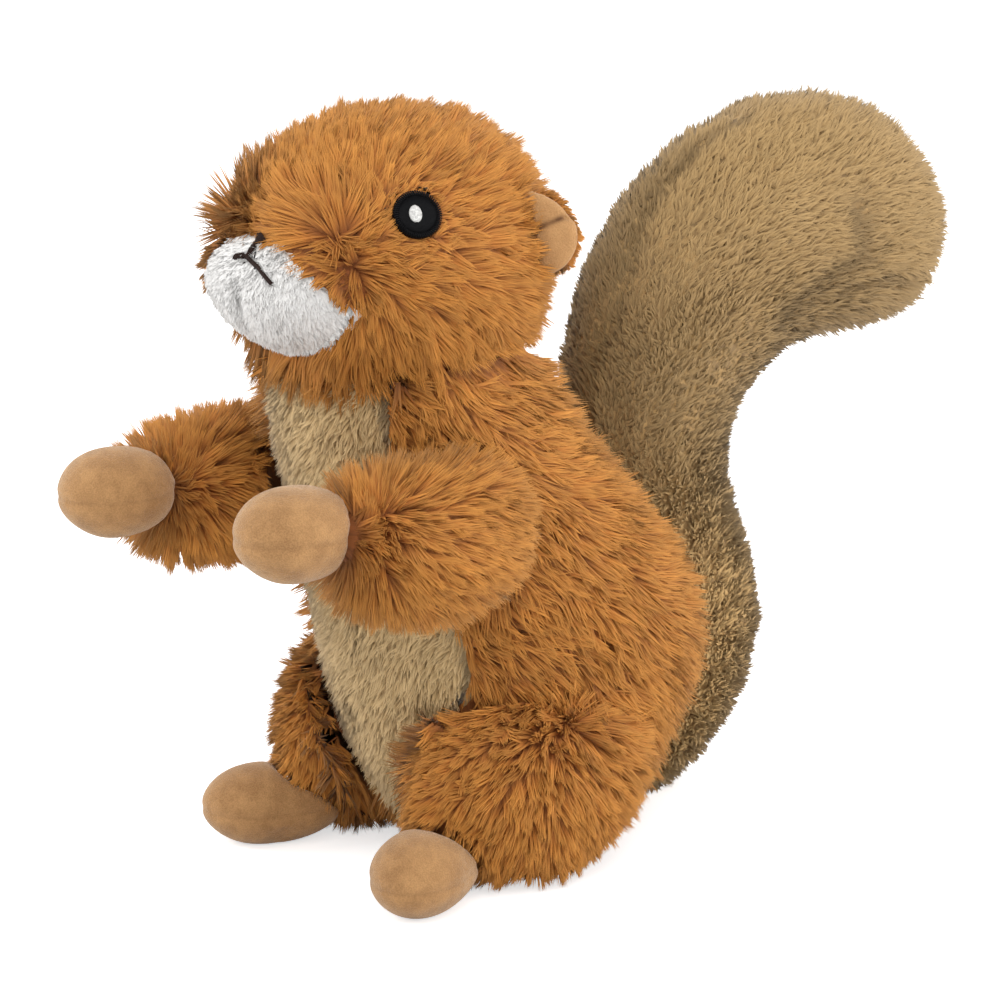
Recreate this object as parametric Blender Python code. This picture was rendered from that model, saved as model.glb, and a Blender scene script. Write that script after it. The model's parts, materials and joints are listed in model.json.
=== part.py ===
"""A plush squirrel that sits upright, with its arms held out and its tail curled back.

Each sewn and stuffed piece of the toy is one object: head, muzzle, ears and their linings, embroidered eyes and
mouth, torso, belly panel, arms, paws, thighs, feet and tail. Metres, +Z up. The squirrel looks along -Y, and its own
left is +X. It stands on Z = 0, with the origin under the middle of the whole toy.
"""

import math

import bmesh
import bpy
import numpy as np
from mathutils import Matrix, Vector

# The gap between two pieces that are sewn to each other
SEAM_GAP = 0.0003

# Torso, bottom to neck: height, centre line (y), half width, half depth
TORSO_RINGS = (
    (-0.016, 0.004, 0.038, 0.040),
    (0.004, 0.004, 0.046, 0.049),
    (0.022, 0.004, 0.051, 0.054),
    (0.040, 0.004, 0.056, 0.060),
    (0.056, 0.005, 0.060, 0.064),
    (0.075, 0.003, 0.062, 0.066),
    (0.097, -0.004, 0.0612, 0.063),
    (0.118, -0.016, 0.055, 0.057),
    (0.139, -0.029, 0.050, 0.051),
    (0.160, -0.037, 0.047, 0.047),
    (0.190, -0.042, 0.044, 0.044),
)

# Belly panel, seen from the front: height, half width
BELLY_OUTLINE = (
    (0.010, 0.006),
    (0.026, 0.017),
    (0.046, 0.030),
    (0.070, 0.039),
    (0.094, 0.038),
    (0.122, 0.034),
    (0.150, 0.030),
    (0.178, 0.028),
)
BELLY_THICKNESS = 0.005
BELLY_BELOW_FUR = 0.0012

# Head, nape to brow: y, height, half width, half height
HEAD_RINGS = (
    (0.012, 0.195, 0.038, 0.036),
    (-0.016, 0.198, 0.049, 0.045),
    (-0.044, 0.1985, 0.051, 0.046),
    (-0.068, 0.1975, 0.048, 0.0425),
    (-0.084, 0.1985, 0.043, 0.0375),
    (-0.0965, 0.2050, 0.0385, 0.0308),
)

# Muzzle, an egg on its side across the front of the face
MUZZLE_HALF_WIDTH = 0.034
MUZZLE_HALF_DEPTH = 0.0225
MUZZLE_HALF_HEIGHT = 0.0215
MUZZLE_INTO_FACE = 0.0165
MUZZLE_DROP = 0.0120

# Embroidered eyes, domed discs on the sides of the head
EYE_RADIUS = 0.0073
EYE_THICKNESS = 0.0026
EYE_PROUD = 0.0010
EYE_ALONG_HEAD = 0.711
EYE_ABOVE_SIDE = math.radians(27)
GLINT_HALF_WIDTH = 0.0017
GLINT_HALF_HEIGHT = 0.0023
GLINT_THICKNESS = 0.0008
GLINT_FORWARD = 0.0008

# Nose and mouth, satin stitches on the muzzle, sewn a little to its left. Each point is (across, up) from the
# middle of the stitching
THREAD_RADIUS = 0.0007
THREAD_SUNK = 0.0002
STITCHES_ASIDE = 0.0035
NOSE_STITCH = ((-0.0034, 0.0146), (0.0008, 0.0122), (0.0032, 0.0142))
PHILTRUM = ((0.0008, 0.0122), (0.0009, 0.0096))
MOUTH_LINE = ((-0.0105, 0.0036), (-0.0055, 0.0076), (0.0009, 0.0096), (0.0062, 0.0074), (0.0120, 0.0032))

# Ears, cupped flaps that stand off the sides of the head
EAR_LENGTH = 0.0112
EAR_ROOT = 0.009
EAR_HALF_HEIGHT = 0.0136
EAR_HALF_THICKNESS = 0.0048
EAR_ALONG_HEAD = 0.29
EAR_ABOVE_SIDE = math.radians(6.5)
EAR_SWEPT_BACK = math.radians(30)
EAR_RISE = 0.28
LINING_INSET = 0.0015
LINING_HALF_THICKNESS = 0.0026
LINING_PROUD = 0.0012

# Arms, shoulder to wrist, from the middle of the shoulder: across, forward, up, half width, half height
ARM_RINGS = (
    (0.000, 0.000, 0.000, 0.020, 0.024),
    (0.014, 0.022, -0.009, 0.022, 0.0250),
    (0.017, 0.043, -0.011, 0.023, 0.0248),
    (0.014, 0.062, -0.007, 0.022, 0.0228),
    (0.011, 0.072, -0.005, 0.020, 0.0205),
)
LEFT_WRIST_RAISED = 0.0030
RIGHT_WRIST_RAISED = -0.0020
SHOULDER_HEIGHT = 0.137
SHOULDER_ANGLE = math.radians(-10)
SHOULDER_DEPTH = 0.014

# Paws, wrist to tip, from the wrist: forward, up, half width, half height
PAW_RINGS = (
    (-0.012, 0.000, 0.013, 0.0115),
    (0.005, 0.001, 0.0158, 0.0136),
    (0.019, 0.001, 0.0154, 0.0132),
    (0.028, 0.000, 0.0122, 0.0102),
)

# Thighs, back to knee, from the middle of the hip: across, forward, height, half width, half height
THIGH_RINGS = (
    (0.000, -0.036, 0.030, 0.022, 0.030),
    (0.002, -0.016, 0.033, 0.026, 0.037),
    (0.001, 0.012, 0.034, 0.027, 0.038),
    (-0.003, 0.036, 0.031, 0.025, 0.034),
    (-0.006, 0.054, 0.026, 0.021, 0.027),
)
HIP_OUT = 0.038
HIP_Y = -0.010

# Feet, heel to toe, from the heel inside the thigh: outward, forward, height, half width, half height
FOOT_RINGS = (
    (0.000, 0.000, 0.0120, 0.0130, 0.0110),
    (0.008, 0.017, 0.0122, 0.0145, 0.0125),
    (0.015, 0.032, 0.0126, 0.0150, 0.0130),
    (0.020, 0.043, 0.0126, 0.0125, 0.0110),
)
HEEL_OUT = 0.030
HEEL_Y = -0.041

# Tail, root to tip: y, height, half width, half depth
TAIL_RINGS = (
    (0.050, -0.004, 0.020, 0.020),
    (0.069, 0.026, 0.025, 0.032),
    (0.079, 0.057, 0.027, 0.0345),
    (0.0705, 0.088, 0.026, 0.030),
    (0.0635, 0.116, 0.026, 0.031),
    (0.0665, 0.144, 0.027, 0.0365),
    (0.0795, 0.1675, 0.029, 0.0415),
    (0.1045, 0.1865, 0.031, 0.0435),
    (0.1365, 0.1912, 0.032, 0.0445),
    (0.1668, 0.1822, 0.031, 0.0440),
    (0.1950, 0.1625, 0.029, 0.0415),
)

# Seams that pinch a stuffed piece: how deep, and how wide in radians
SEAM_DEPTH = 0.0016
SEAM_WIDTH = 0.16
TAIL_STRIP_HALF_ANGLE = math.radians(38)

# How full the first and last end of each stuffed piece are. 2 is round, and more is blunter
TORSO_ENDS = (5.0, 8.0)
HEAD_ENDS = (2.2, 4.0)
MUZZLE_ENDS = (2.0, 2.0)
EAR_ENDS = (3.0, 2.6)
ARM_ENDS = (2.4, 3.2)
PAW_ENDS = (2.4, 3.0)
THIGH_ENDS = (2.4, 2.4)
FOOT_ENDS = (2.6, 3.0)
TAIL_ENDS = (4.5, 4.5)

# How finely each form is faceted: round its rings, and along it
TORSO_FACETS = (32, 18)
BELLY_CORE_FACETS = (24, 12)
HEAD_FACETS = (30, 18)
LIMB_FACETS = (20, 12)
PAW_FACETS = (20, 10)
THIGH_FACETS = (22, 13)
TAIL_FACETS = (26, 26)
EAR_FACETS = (16, 8)
MUZZLE_FACETS = (26, 12)
EYE_FACETS = 18
THREAD_SIDES = 6

# Linear colour, roughness
FUR_ORANGE = ((0.450, 0.170, 0.040), 0.9)
FUR_TAUPE = ((0.330, 0.220, 0.115), 0.9)
FUR_BEIGE = ((0.400, 0.300, 0.180), 0.9)
FUR_WHITE = ((0.850, 0.830, 0.820), 0.9)
CLOTH_TAN = ((0.560, 0.340, 0.170), 0.8)
THREAD_BLACK = ((0.012, 0.012, 0.014), 0.5)
THREAD_BROWN = ((0.040, 0.018, 0.014), 0.6)
THREAD_WHITE = ((0.800, 0.800, 0.780), 0.6)

ALONG_X = Vector((1, 0, 0))
SIDES = {"left": 1, "right": -1}


def clear_scene():
    for obj in list(bpy.data.objects):
        bpy.data.objects.remove(obj)


def material(name, finish):
    """A cloth, fur or thread material from its linear colour and roughness."""
    found = bpy.data.materials.get(name)
    if found:
        return found
    colour, roughness = finish
    made = bpy.data.materials.new(name)
    made.use_nodes = True
    shader = made.node_tree.nodes["Principled BSDF"]
    shader.inputs["Base Color"].default_value = (*colour, 1)
    shader.inputs["Roughness"].default_value = roughness
    shader.inputs["Metallic"].default_value = 0
    return made


def mesh_object(name, mesh_data, finish=None):
    """A new object from a bmesh, which it frees."""
    mesh = bpy.data.meshes.new(name)
    bmesh.ops.recalc_face_normals(mesh_data, faces=mesh_data.faces)
    mesh_data.to_mesh(mesh)
    mesh_data.free()
    mesh.shade_smooth()
    obj = bpy.data.objects.new(name, mesh)
    bpy.context.scene.collection.objects.link(obj)
    if finish:
        mesh.materials.append(material(*finish))
    return obj


def helper(obj):
    """Keeps a cutter out of the toy."""
    obj.hide_render = True
    obj.display_type = "WIRE"
    return obj


def trim(obj, cutter, operation="DIFFERENCE", folded=False):
    """Cuts obj by another object, adds that to it, or keeps what the two share. A folded one runs into itself."""
    cut = obj.modifiers.new(f"{operation.lower()} {cutter.name}", "BOOLEAN")
    cut.operation = operation
    cut.solver = "EXACT"
    cut.use_self = folded
    cut.use_hole_tolerant = folded
    cut.object = cutter
    return obj


def smooth(knots, values, at):
    """(value, slope) at a place along a smooth curve through values at the knots."""
    slopes = np.gradient(values, knots, axis=0)
    i = int(np.clip(np.searchsorted(knots, at, side="right") - 1, 0, len(knots) - 2))
    span = knots[i + 1] - knots[i]
    t = (at - knots[i]) / span
    start, end = values[i], values[i + 1]
    out, into = slopes[i] * span, slopes[i + 1] * span
    value = (
        start * (2 * t**3 - 3 * t**2 + 1)
        + out * (t**3 - 2 * t**2 + t)
        + end * (3 * t**2 - 2 * t**3)
        + into * (t**3 - t**2)
    )
    slope = (
        start * (6 * t**2 - 6 * t)
        + out * (3 * t**2 - 4 * t + 1)
        + end * (6 * t - 6 * t**2)
        + into * (3 * t**2 - 2 * t)
    ) / span
    return value, slope


class StuffedForm:
    """A sewn and stuffed bag: oval rings of cloth along a curved centre line, closed round at both ends.

    The rings stand square to that line, or to a forward direction of their own. A place on the form is its share of
    the way along, and its angle round the ring from the side towards the top.
    """

    def __init__(self, stations, facets, side=ALONG_X, ends=THIGH_ENDS, seams=(), forward=None):
        table = np.array(stations, float)
        self.centres = table[:, :3]
        self.halves = table[:, 3:5]
        steps = np.linalg.norm(np.diff(self.centres, axis=0), axis=1)
        self.knots = np.concatenate([[0], np.cumsum(steps)]) / steps.sum()
        self.facets = facets
        self.side = Vector(side)
        self.ends = ends
        self.seams = seams
        self.forward = forward

    def frame(self, share):
        """Middle, side, top and forward directions of the ring at that share of the way along."""
        centre, slope = smooth(self.knots, self.centres, share)
        forward = self.forward or Vector(slope).normalized()
        side = (self.side - forward * self.side.dot(forward)).normalized()
        return Vector(centre), side, forward.cross(side), forward

    def pinch(self, angle):
        """How far the seams pull the cloth in at that angle."""
        depth = 0.0
        for seam in self.seams:
            off = (angle - seam + math.pi) % (2 * math.pi) - math.pi
            depth += SEAM_DEPTH * math.exp(-((off / SEAM_WIDTH) ** 2))
        return depth

    def surface(self, share, angle, grow=0.0):
        """The point on the cloth, moved outwards by grow."""
        centre, side, top, forward = self.frame(share)
        half_side, half_top = smooth(self.knots, self.halves, share)[0]
        place = 2 * share - 1
        power = self.ends[0] if place < 0 else self.ends[1]
        closing = math.sqrt(max(0.0, 1 - abs(place) ** power))
        out = grow - self.pinch(angle) * closing
        return (
            centre
            + forward * (grow * place)
            + side * (math.cos(angle) * (half_side * closing + out))
            + top * (math.sin(angle) * (half_top * closing + out))
        )

    def outward(self, share, angle):
        """The direction square to the cloth."""
        step = 1e-3
        along = self.surface(share + step, angle) - self.surface(share - step, angle)
        around = self.surface(share, angle + step) - self.surface(share, angle - step)
        return around.cross(along).normalized()

    def build(self, name, finish=None, grow=0.0, facets=None):
        """The closed solid, offset outwards by grow."""
        around, along = facets or self.facets
        made = bmesh.new()
        rings = []
        for k in range(1, along):
            share = (1 - math.cos(math.pi * k / along)) / 2
            ring = [
                made.verts.new(self.surface(share, 2 * math.pi * j / around, grow)) for j in range(around)
            ]
            rings.append(ring)
        for share, ring in ((0.0, rings[0]), (1.0, rings[-1])):
            centre, _, _, forward = self.frame(share)
            pole = made.verts.new(centre + forward * (grow * (2 * share - 1)))
            for j in range(around):
                made.faces.new((pole, ring[j], ring[(j + 1) % around]))
        for near, far in zip(rings, rings[1:]):
            for j in range(around):
                after = (j + 1) % around
                made.faces.new((near[j], near[after], far[after], far[j]))
        return mesh_object(name, made, finish)


def torso_form():
    stations = [(0, y, z, w, d) for z, y, w, d in TORSO_RINGS]
    return StuffedForm(stations, TORSO_FACETS, ends=TORSO_ENDS, forward=Vector((0, 0, 1)))


def head_form():
    stations = [(0, y, z, w, h) for y, z, w, h in HEAD_RINGS]
    return StuffedForm(stations, HEAD_FACETS, ends=HEAD_ENDS, forward=Vector((0, -1, 0)))


def muzzle_form():
    """An egg across the front of the face."""
    y_brow, z_brow = HEAD_RINGS[-1][:2]
    y, z = y_brow + MUZZLE_INTO_FACE, z_brow - MUZZLE_DROP
    back, front = y + MUZZLE_HALF_DEPTH, y - MUZZLE_HALF_DEPTH
    stations = [(0, step, z, MUZZLE_HALF_WIDTH, MUZZLE_HALF_HEIGHT) for step in (back, y, front)]
    return StuffedForm(stations, MUZZLE_FACETS, ends=MUZZLE_ENDS)


def on_muzzle(muzzle, across, up):
    """(point, outward direction) on the front of the muzzle, by its place seen from the front."""
    middle, side, top, forward = muzzle.frame(0.5)
    flat = (across / MUZZLE_HALF_WIDTH) ** 2 + (up / MUZZLE_HALF_HEIGHT) ** 2
    bulge = math.sqrt(max(0.0, 1 - flat))
    point = middle + side * across + top * up + forward * (MUZZLE_HALF_DEPTH * bulge)
    out = side * (across / MUZZLE_HALF_WIDTH**2) + top * (up / MUZZLE_HALF_HEIGHT**2)
    out += forward * (bulge / MUZZLE_HALF_DEPTH)
    return point, out.normalized()


def torso_share(height):
    """The share of the way along the torso's centre line that has that height."""
    shares = np.linspace(0, 1, 200)
    heights = [torso_form().frame(share)[0].z for share in shares]
    return float(np.interp(height, heights, shares))


def arm_form(sign):
    shoulder = torso_form().surface(torso_share(SHOULDER_HEIGHT), SHOULDER_ANGLE, -SHOULDER_DEPTH)
    raised = LEFT_WRIST_RAISED if sign > 0 else RIGHT_WRIST_RAISED
    reach = ARM_RINGS[-1][1]
    stations = [
        (sign * (shoulder.x + across), shoulder.y - forward, shoulder.z + up + raised * forward / reach, w, h)
        for across, forward, up, w, h in ARM_RINGS
    ]
    return StuffedForm(stations, LIMB_FACETS, ends=ARM_ENDS)


def paw_form(sign):
    wrist = arm_form(sign).frame(1.0)[0]
    stations = [
        (wrist.x, wrist.y - forward, wrist.z + up, w, h) for forward, up, w, h in PAW_RINGS
    ]
    return StuffedForm(stations, PAW_FACETS, ends=PAW_ENDS)


def thigh_form(sign):
    stations = [
        (sign * (HIP_OUT + across), HIP_Y - forward, z, w, h)
        for across, forward, z, w, h in THIGH_RINGS
    ]
    return StuffedForm(stations, THIGH_FACETS)


def foot_form(sign):
    stations = [
        (sign * (HEEL_OUT + outward), HEEL_Y - forward, z, w, h)
        for outward, forward, z, w, h in FOOT_RINGS
    ]
    return StuffedForm(stations, PAW_FACETS, ends=FOOT_ENDS)


def tail_form():
    """The tail, with the two seams of the strip that runs up its front."""
    front = -math.pi / 2
    seams = (front - TAIL_STRIP_HALF_ANGLE, front + TAIL_STRIP_HALF_ANGLE)
    stations = [(0, y, z, w, d) for y, z, w, d in TAIL_RINGS]
    return StuffedForm(stations, TAIL_FACETS, ends=TAIL_ENDS, seams=seams)


def side_angle(sign, above):
    """The angle round the head of a place that far above its left or right side."""
    return above if sign > 0 else math.pi - above


def ear_frame(sign):
    """Root, outward and upward directions of an ear."""
    head = head_form()
    angle = side_angle(sign, EAR_ABOVE_SIDE)
    out = Vector((sign * math.cos(EAR_SWEPT_BACK), math.sin(EAR_SWEPT_BACK), EAR_RISE)).normalized()
    up = Vector((0, 0, 1)) - out * out.z
    return head.surface(EAR_ALONG_HEAD, angle, -EAR_ROOT), out, up.normalized()


def flap(root, out, up, length, half_height, half_thickness, facets):
    """A flat stuffed flap from its root outwards."""
    stations = [
        (*(root + out * (length * share)), half_height * swell, half_thickness)
        for share, swell in ((0, 0.80), (0.35, 1.0), (0.7, 0.96), (1.0, 0.66))
    ]
    return StuffedForm(stations, facets, side=up, ends=EAR_ENDS)


def ear_form(sign):
    root, out, up = ear_frame(sign)
    length = EAR_ROOT + EAR_LENGTH
    return flap(root, out, up, length, EAR_HALF_HEIGHT, EAR_HALF_THICKNESS, EAR_FACETS)


def lining_form(sign):
    """The smooth cloth that lines the front of an ear."""
    root, out, up = ear_frame(sign)
    face = out.cross(up) if sign < 0 else up.cross(out)
    if face.y > 0:
        face = -face
    shift = EAR_HALF_THICKNESS - LINING_HALF_THICKNESS + LINING_PROUD
    length = EAR_ROOT + EAR_LENGTH - LINING_INSET
    half_height = EAR_HALF_HEIGHT - LINING_INSET
    return flap(root + face * shift, out, up, length, half_height, LINING_HALF_THICKNESS, EAR_FACETS)


def disc(name, centre, out, up, half_width, half_height, thickness, finish=None):
    """A domed oval disc, spun from its section, with its back at the centre point and its dome along out."""
    made = bmesh.new()
    rim = thickness * 0.45
    section = [(0, 0), (1, 0), (1, rim), (0.9, thickness * 0.8), (0.6, thickness * 0.96), (0, thickness)]
    points = [made.verts.new((x, 0, z)) for x, z in section]
    edges = [made.edges.new(pair) for pair in zip(points, points[1:])]
    bmesh.ops.spin(
        made,
        geom=points + edges,
        cent=(0, 0, 0),
        axis=(0, 0, 1),
        angle=2 * math.pi,
        steps=EYE_FACETS,
    )
    bmesh.ops.remove_doubles(made, verts=made.verts, dist=thickness * 0.01)
    side = up.cross(out).normalized()
    turn = Matrix((side, out.cross(side), out)).transposed().to_4x4()
    shape = Matrix.Diagonal((half_width, half_height, 1, 1))
    bmesh.ops.transform(made, matrix=Matrix.Translation(centre) @ turn @ shape, verts=made.verts)
    return mesh_object(name, made, finish)


def thread_line(name, muzzle, points, finish=None, grow=0.0):
    """A stitched line of thread that follows the muzzle, as a tube with filled ends."""
    curve = bpy.data.curves.new(name, "CURVE")
    curve.dimensions = "3D"
    curve.bevel_depth = THREAD_RADIUS + grow
    curve.bevel_resolution = (THREAD_SIDES - 4) // 2
    curve.use_fill_caps = True
    spline = curve.splines.new("POLY")
    steps = 4
    knots = np.linspace(0, 1, len(points))
    places = np.linspace(0, 1, steps * (len(points) - 1) + 1)
    line = [smooth(knots, np.array(points), place)[0] for place in places]
    spline.points.add(len(line) - 1)
    for point, (across, up) in zip(spline.points, line):
        on, out = on_muzzle(muzzle, across, up)
        point.co = (*(on + out * (THREAD_RADIUS - THREAD_SUNK)), 1)
    holder = bpy.data.objects.new(name, curve)
    bpy.context.scene.collection.objects.link(holder)
    bpy.context.view_layer.update()
    graph = bpy.context.evaluated_depsgraph_get()
    mesh = bpy.data.meshes.new_from_object(holder.evaluated_get(graph))
    bpy.data.objects.remove(holder)
    made = bmesh.new()
    made.from_mesh(mesh)
    bmesh.ops.remove_doubles(made, verts=made.verts, dist=THREAD_RADIUS * 0.01)
    return mesh_object(name, made, finish)


def ground_slab():
    """Everything under the surface that the toy sits on."""
    reach = 0.5
    made = bmesh.new()
    bmesh.ops.create_cube(made, size=reach)
    bmesh.ops.translate(made, verts=made.verts, vec=(0, 0, -reach / 2))
    return helper(mesh_object("ground_cutter", made))


def belly_prism(name, grow=0.0):
    """The belly panel's outline, pushed through the front half of the torso."""
    heights = np.array([z for z, _ in BELLY_OUTLINE])
    widths = np.array([w for _, w in BELLY_OUTLINE])
    up = [float(z) for z in np.linspace(heights[0] - grow, heights[-1] + grow, 18)]
    half = [float(smooth(heights, widths, min(max(z, heights[0]), heights[-1]))[0]) + grow for z in up]
    outline = list(zip(half, up)) + [(-w, z) for w, z in reversed(list(zip(half, up)))]
    front = min(y - d for _, y, _, d in TORSO_RINGS) - BELLY_THICKNESS
    back = min(y for _, y, _, _ in TORSO_RINGS) + 2 * BELLY_THICKNESS
    made = bmesh.new()
    face = made.faces.new([made.verts.new((x, front, z)) for x, z in outline])
    pushed = bmesh.ops.extrude_face_region(made, geom=[face])["geom"]
    moved = [item for item in pushed if isinstance(item, bmesh.types.BMVert)]
    bmesh.ops.translate(made, verts=moved, vec=(0, back - front, 0))
    return helper(mesh_object(name, made))


def make_torso_and_belly(ground, head_cutter):
    form = torso_form()
    torso = form.build("torso", ("orange_fur", FUR_ORANGE))
    inner = {"facets": BELLY_CORE_FACETS}
    core = helper(form.build("belly_core", grow=-BELLY_THICKNESS, **inner))
    deep_core = helper(form.build("belly_pocket_core", grow=-BELLY_THICKNESS - SEAM_GAP, **inner))
    pocket = trim(belly_prism("belly_pocket", grow=SEAM_GAP), deep_core)
    for cutter in (ground, head_cutter, pocket):
        trim(torso, cutter)
    belly = form.build("belly_panel", ("beige_fur", FUR_BEIGE), grow=-BELLY_BELOW_FUR)
    trim(belly, belly_prism("belly_prism"), "INTERSECT")
    trim(belly, core)
    trim(belly, head_cutter)


def make_face(head):
    """Muzzle with its stitching, and the two eyes. Each gets its pocket in what carries it."""
    muzzle_shape = muzzle_form()
    muzzle = muzzle_shape.build("muzzle", ("white_plush", FUR_WHITE))
    trim(head, helper(muzzle_shape.build("muzzle_cutter", grow=SEAM_GAP)))

    lines = {"nose": NOSE_STITCH, "philtrum": PHILTRUM, "mouth": MOUTH_LINE}
    stitching = None
    for name, line in lines.items():
        points = [(across + STITCHES_ASIDE, up) for across, up in line]
        groove = helper(thread_line(f"{name}_groove", muzzle_shape, points, grow=SEAM_GAP))
        trim(muzzle, groove, folded=True)
        if stitching is None:
            finish = ("brown_thread", THREAD_BROWN)
            stitching = thread_line("nose_and_mouth_stitching", muzzle_shape, points, finish)
        else:
            thread = helper(thread_line(f"{name}_thread", muzzle_shape, points))
            trim(stitching, thread, "UNION", folded=True)

    shape = head_form()
    for side, sign in SIDES.items():
        angle = side_angle(sign, EYE_ABOVE_SIDE)
        on = shape.surface(EYE_ALONG_HEAD, angle)
        out = shape.outward(EYE_ALONG_HEAD, angle)
        up = (Vector((0, 0, 1)) - out * out.z).normalized()
        back = on - out * (EYE_THICKNESS - EYE_PROUD)
        finish = ("black_thread", THREAD_BLACK)
        disc(f"eye_{side}", back, out, up, EYE_RADIUS, EYE_RADIUS, EYE_THICKNESS, finish)
        pocket_radius = EYE_RADIUS + SEAM_GAP
        pocket_back = back - out * SEAM_GAP
        depth = EYE_THICKNESS + SEAM_GAP
        pocket = disc(f"eye_pocket_{side}", pocket_back, out, up, pocket_radius, pocket_radius, 2 * depth)
        trim(head, helper(pocket))
        face = Vector((0, -1, 0)) + out * out.y
        glint_back = back + out * (EYE_THICKNESS + SEAM_GAP) + face.normalized() * GLINT_FORWARD
        finish = ("white_thread", THREAD_WHITE)
        size = (GLINT_HALF_WIDTH, GLINT_HALF_HEIGHT, GLINT_THICKNESS)
        disc(f"eye_glint_{side}", glint_back, out, up, *size, finish)


def make_ears(head_cutter):
    for side, sign in SIDES.items():
        ear = ear_form(sign).build(f"ear_{side}", ("orange_fur", FUR_ORANGE))
        shape = lining_form(sign)
        lining = shape.build(f"ear_lining_{side}", ("tan_cloth", CLOTH_TAN))
        trim(ear, helper(shape.build(f"ear_lining_cutter_{side}", grow=SEAM_GAP)))
        trim(ear, head_cutter)
        trim(lining, head_cutter)


def make_limbs(ground, torso_cutter, head_cutter):
    for side, sign in SIDES.items():
        fur = ("orange_fur", FUR_ORANGE)
        cloth = ("tan_cloth", CLOTH_TAN)
        arm_shape, thigh_shape = arm_form(sign), thigh_form(sign)
        arm = arm_shape.build(f"arm_{side}", fur)
        thigh = thigh_shape.build(f"thigh_{side}", fur)
        paw = paw_form(sign).build(f"paw_{side}", cloth)
        foot = foot_form(sign).build(f"foot_{side}", cloth)
        trim(arm, torso_cutter)
        trim(arm, head_cutter)
        trim(thigh, torso_cutter)
        trim(thigh, ground)
        trim(paw, helper(arm_shape.build(f"wrist_cutter_{side}", grow=SEAM_GAP)))
        trim(foot, helper(thigh_shape.build(f"ankle_cutter_{side}", grow=SEAM_GAP)))
        trim(foot, torso_cutter)
        trim(foot, ground)


def stand_on_origin():
    """Moves everything so that the origin is under the middle of the toy."""
    bpy.context.view_layer.update()
    graph = bpy.context.evaluated_depsgraph_get()
    corners = []
    for obj in bpy.context.scene.objects:
        if not obj.hide_render:
            mesh = obj.evaluated_get(graph).to_mesh()
            corners += [v.co.copy() for v in mesh.vertices]
    low = Vector(min(c[i] for c in corners) for i in range(3))
    high = Vector(max(c[i] for c in corners) for i in range(3))
    middle = (low + high) / 2
    for obj in bpy.context.scene.objects:
        obj.location -= Vector((middle.x, middle.y, low.z))
    print("moved by", -middle.x, -middle.y, -low.z)


def main():
    clear_scene()
    ground = ground_slab()
    head_shape = head_form()
    head = head_shape.build("head", ("orange_fur", FUR_ORANGE))
    head_cutter = helper(head_shape.build("head_cutter", grow=SEAM_GAP))
    torso_cutter = helper(torso_form().build("torso_cutter", grow=SEAM_GAP))
    make_torso_and_belly(ground, head_cutter)
    make_face(head)
    make_ears(head_cutter)
    make_limbs(ground, torso_cutter, head_cutter)
    tail = tail_form().build("tail", ("taupe_fur", FUR_TAUPE))
    trim(tail, torso_cutter)
    trim(tail, ground)
    stand_on_origin()


main()
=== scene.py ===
# %% [markdown]
# # A plush squirrel
# This lesson dresses a finished set of plain solids as a plush squirrel. Long plush is a woven back with a pile of
# yarn standing on it. So each furry piece gets a skin, a little inside its solid, and thousands of small tapered
# tufts that grow out of that skin. The paws and feet are smooth velour over filling, and those are blown up as
# real cloth. The eyes, the nose and the mouth are thread.

# %% Load the solids
import json
import math

import bpy
import numpy as np
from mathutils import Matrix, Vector, noise
from mathutils.bvhtree import BVHTree
from mathutils.kdtree import KDTree

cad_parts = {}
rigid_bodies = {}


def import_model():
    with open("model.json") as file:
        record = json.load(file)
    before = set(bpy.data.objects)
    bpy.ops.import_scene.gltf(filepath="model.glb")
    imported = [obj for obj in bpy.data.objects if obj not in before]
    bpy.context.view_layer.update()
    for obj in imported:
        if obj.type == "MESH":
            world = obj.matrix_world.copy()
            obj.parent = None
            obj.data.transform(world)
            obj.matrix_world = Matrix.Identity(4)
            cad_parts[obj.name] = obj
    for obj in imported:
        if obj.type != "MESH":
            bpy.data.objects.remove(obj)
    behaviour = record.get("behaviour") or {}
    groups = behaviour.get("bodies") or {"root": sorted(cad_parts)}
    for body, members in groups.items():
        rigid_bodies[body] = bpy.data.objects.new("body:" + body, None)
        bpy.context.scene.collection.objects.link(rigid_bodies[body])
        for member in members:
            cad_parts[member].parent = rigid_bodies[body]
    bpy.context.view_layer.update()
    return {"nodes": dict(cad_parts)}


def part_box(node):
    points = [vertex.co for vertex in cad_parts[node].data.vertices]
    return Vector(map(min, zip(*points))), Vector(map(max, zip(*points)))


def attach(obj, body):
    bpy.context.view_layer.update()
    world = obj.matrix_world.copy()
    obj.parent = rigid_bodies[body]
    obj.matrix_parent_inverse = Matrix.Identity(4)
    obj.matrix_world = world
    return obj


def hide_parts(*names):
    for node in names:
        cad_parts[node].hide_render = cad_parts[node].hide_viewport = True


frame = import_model()
nodes = frame["nodes"]

# %% [markdown]
# ## Camera, floor and light
# The camera comes first, because it decides what detail can be seen. It stands about 1 m away, 50 degrees round from
# the squirrel's front and 14 degrees up. The light is a bright sky with four large soft lamps, as in a product
# photograph. The floor glows a little for the camera only, so that it comes out white and still takes a shadow.

# %% Camera
AZIMUTH, ELEVATION = math.radians(50), math.radians(14)
LOOK_AT = Vector((0.0004, -0.0324, 0.112))
FROM_CAMERA = Vector(
    (math.sin(AZIMUTH) * math.cos(ELEVATION), -math.cos(AZIMUTH) * math.cos(ELEVATION), math.sin(ELEVATION))
)
bpy.ops.object.camera_add(location=LOOK_AT + FROM_CAMERA)
camera = bpy.context.object
camera.rotation_euler = (-FROM_CAMERA).to_track_quat("-Z", "Y").to_euler()
camera.data.lens = 111.4
camera.data.sensor_width = 36
scene = bpy.context.scene
scene.camera = camera
scene.view_settings.view_transform = "Standard"
print("camera at", [round(v, 3) for v in camera.location])

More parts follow.
